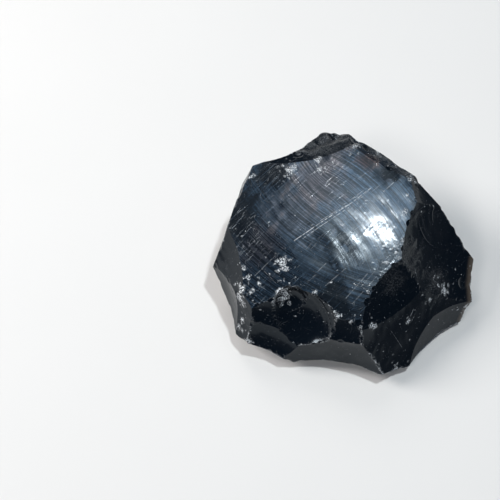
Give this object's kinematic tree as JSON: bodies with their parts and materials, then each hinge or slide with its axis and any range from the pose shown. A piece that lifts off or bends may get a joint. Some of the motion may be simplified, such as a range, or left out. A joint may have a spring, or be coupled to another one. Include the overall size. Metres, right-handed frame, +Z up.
{
  "type": "obsidian chunk",
  "caption": "Hand-sized chunk of black volcanic glass with hollow flake scars, sharp nicked ridges and a broad frosted top face.",
  "frame": {"origin": "on the resting face's plane, under the middle of the stone's width and depth", "axes": "+Z up, +X along the stone's longest way, +Y towards its thick and high side"},
  "size_m": [0.0824, 0.0764, 0.0328],
  "materials": {
    "black_glass": "glossy where freshly broken, frosted and scratched on the old top face"
  },
  "bodies": {
    "root": {"obsidian_chunk": "black_glass"}
  },
  "joints": []
}
